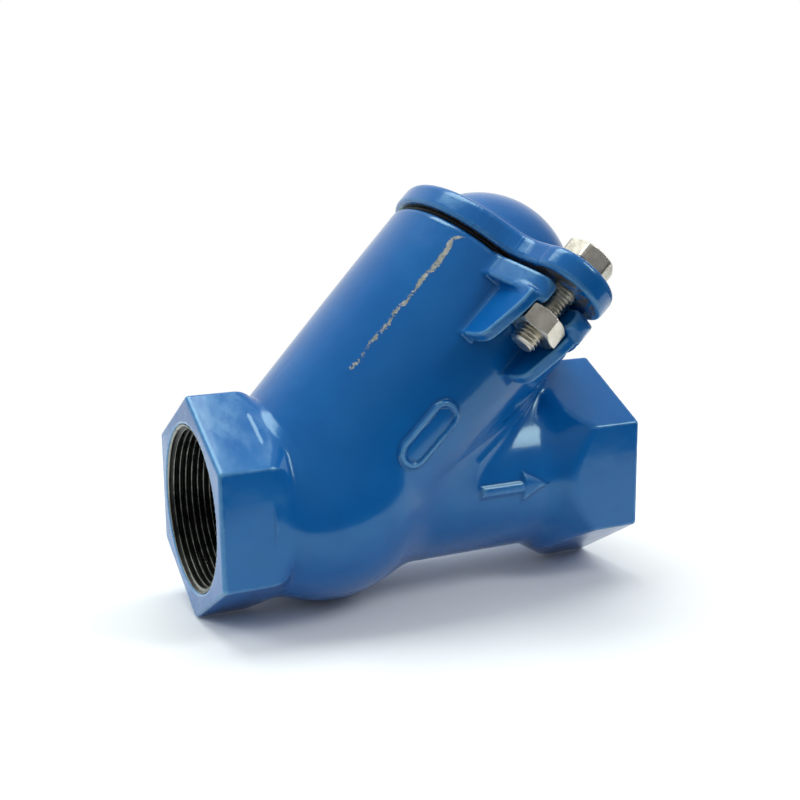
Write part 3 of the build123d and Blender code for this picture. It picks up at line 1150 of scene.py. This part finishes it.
def add_light(name, place, target, size, power, tint=(1, 1, 1), glossy=True):
    """A softbox that faces a point."""
    light = bpy.data.lights.new(name, "AREA")
    light.shape = "RECTANGLE"
    light.size, light.size_y = size
    light.energy = power
    light.color = tint
    lamp = bpy.data.objects.new(name, light)
    lamp.location = place
    lamp.visible_glossy = glossy
    lamp.rotation_mode = "QUATERNION"
    lamp.rotation_quaternion = (Vector(target) - Vector(place)).to_track_quat("-Z", "Y")
    bpy.context.scene.collection.objects.link(lamp)


def add_world():
    """A dim room, paler overhead, with a pale backdrop behind the valve. The camera sees plain white."""
    world = bpy.data.worlds.new("room")
    bpy.context.scene.world = world
    n = Nodes(world)
    direction = n.add("ShaderNodeSeparateXYZ", {0: n.coordinates["Generated"]}).outputs
    height = n.add("ShaderNodeValToRGB", {"Fac": direction["Z"]})
    stops = height.color_ramp.elements
    stops[0].position, stops[0].color = 0.0, (0.10, 0.11, 0.12, 1)
    stops[1].position, stops[1].color = 0.9, (0.50, 0.52, 0.53, 1)
    middle = stops.new(0.4)
    middle.color = (0.24, 0.25, 0.27, 1)
    inputs = {"Value": direction["Y"], "From Min": 0.1, "From Max": 0.85}
    behind = n.add("ShaderNodeMapRange", inputs, interpolation_type="SMOOTHSTEP").outputs["Result"]
    shade = n.mix(behind, height.outputs["Color"], (0.85, 0.87, 0.87, 1))
    room = n.add("ShaderNodeBackground", {"Color": shade}).outputs[0]
    white = n.add("ShaderNodeBackground", {"Color": (1, 1, 1, 1)}).outputs[0]
    seen = n.add("ShaderNodeLightPath").outputs["Is Camera Ray"]
    both = n.add("ShaderNodeMixShader", {"Fac": seen, 1: room, 2: white})
    n.add("ShaderNodeOutputWorld", {"Surface": both.outputs[0]})


def add_camera():
    """A camera that looks along its azimuth and down by its elevation."""
    azimuth, elevation, roll = (math.radians(angle) for angle in camera_angles)
    level = math.cos(elevation)
    ahead = Vector((-math.sin(azimuth) * level, math.cos(azimuth) * level, -math.sin(elevation)))
    right = Vector((math.cos(azimuth), math.sin(azimuth), 0))
    up = right.cross(ahead)
    right, up = math.cos(roll) * right - math.sin(roll) * up, math.sin(roll) * right + math.cos(roll) * up
    data = bpy.data.cameras.new("camera")
    data.sensor_width = 36.0
    data.lens = camera_lens
    data.clip_start, data.clip_end = 0.01, 20.0
    camera = bpy.data.objects.new("camera", data)
    turned = Matrix((right, up, -ahead)).transposed().to_4x4()
    camera.matrix_world = Matrix.Translation(camera_place) @ turned
    bpy.context.scene.collection.objects.link(camera)
    bpy.context.scene.camera = camera


# ---------------------------------------------------------------- the scene
body_step, cover_step = ((0.75, 0.7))
epoxy = epoxy_material()
stainless = stainless_material()
cut_thread = thread_material()
paint(make_body(body_step), epoxy)
paint(make_cover(cover_step), epoxy)
paint(port_thread("inlet_port_thread", 0.0, 1), cut_thread)
paint(port_thread("outlet_port_thread", run_length, -1), cut_thread)
for side_name in ("near", "far"):
    paint(make_screw(side_name), stainless)
    paint(make_nut(side_name), stainless)
    paint(make_washer(side_name), stainless)
paint(make_gasket(), rubber_material("gasket_rubber", colour(5, 5, 6), colour(14, 14, 15), 900))
paint(make_ball(), rubber_material("ball_rubber_skin", colour(20, 20, 21), colour(40, 40, 41), 1200))
paint(frame["nodes"]["ball_core"], alloy_material())

add_floor()
add_world()
add_light("overhead_softbox", (-0.085, 0.6, 2.2), (-0.085, 0.6, 0), (1.53, 1.0), 27.0, (0.95, 1.0, 1.0))
add_light("left_fill", (-1.6, 0.65, 1.3), (0.08, 0, 0.06), (1.2, 1.0), 17.0, (0.9, 1.0, 1.0), glossy=False)
add_light("right_fill", (1.2, 0.5, 1.9), (0.14, 0, 0.0), (0.8, 0.8), 9.0, (0.9, 1.0, 1.0), glossy=False)
add_light("right_softbox", (1.26, -1.1, 1.52), (0.12, 0, 0.02), (0.6, 0.95), 14.0)
add_light("front_fill", (-0.9, -2.0, 1.4), (0.08, 0, 0.03), (2.0, 1.4), 7.5, glossy=False)
add_camera()
scene = bpy.context.scene
scene.view_settings.view_transform = "Standard"
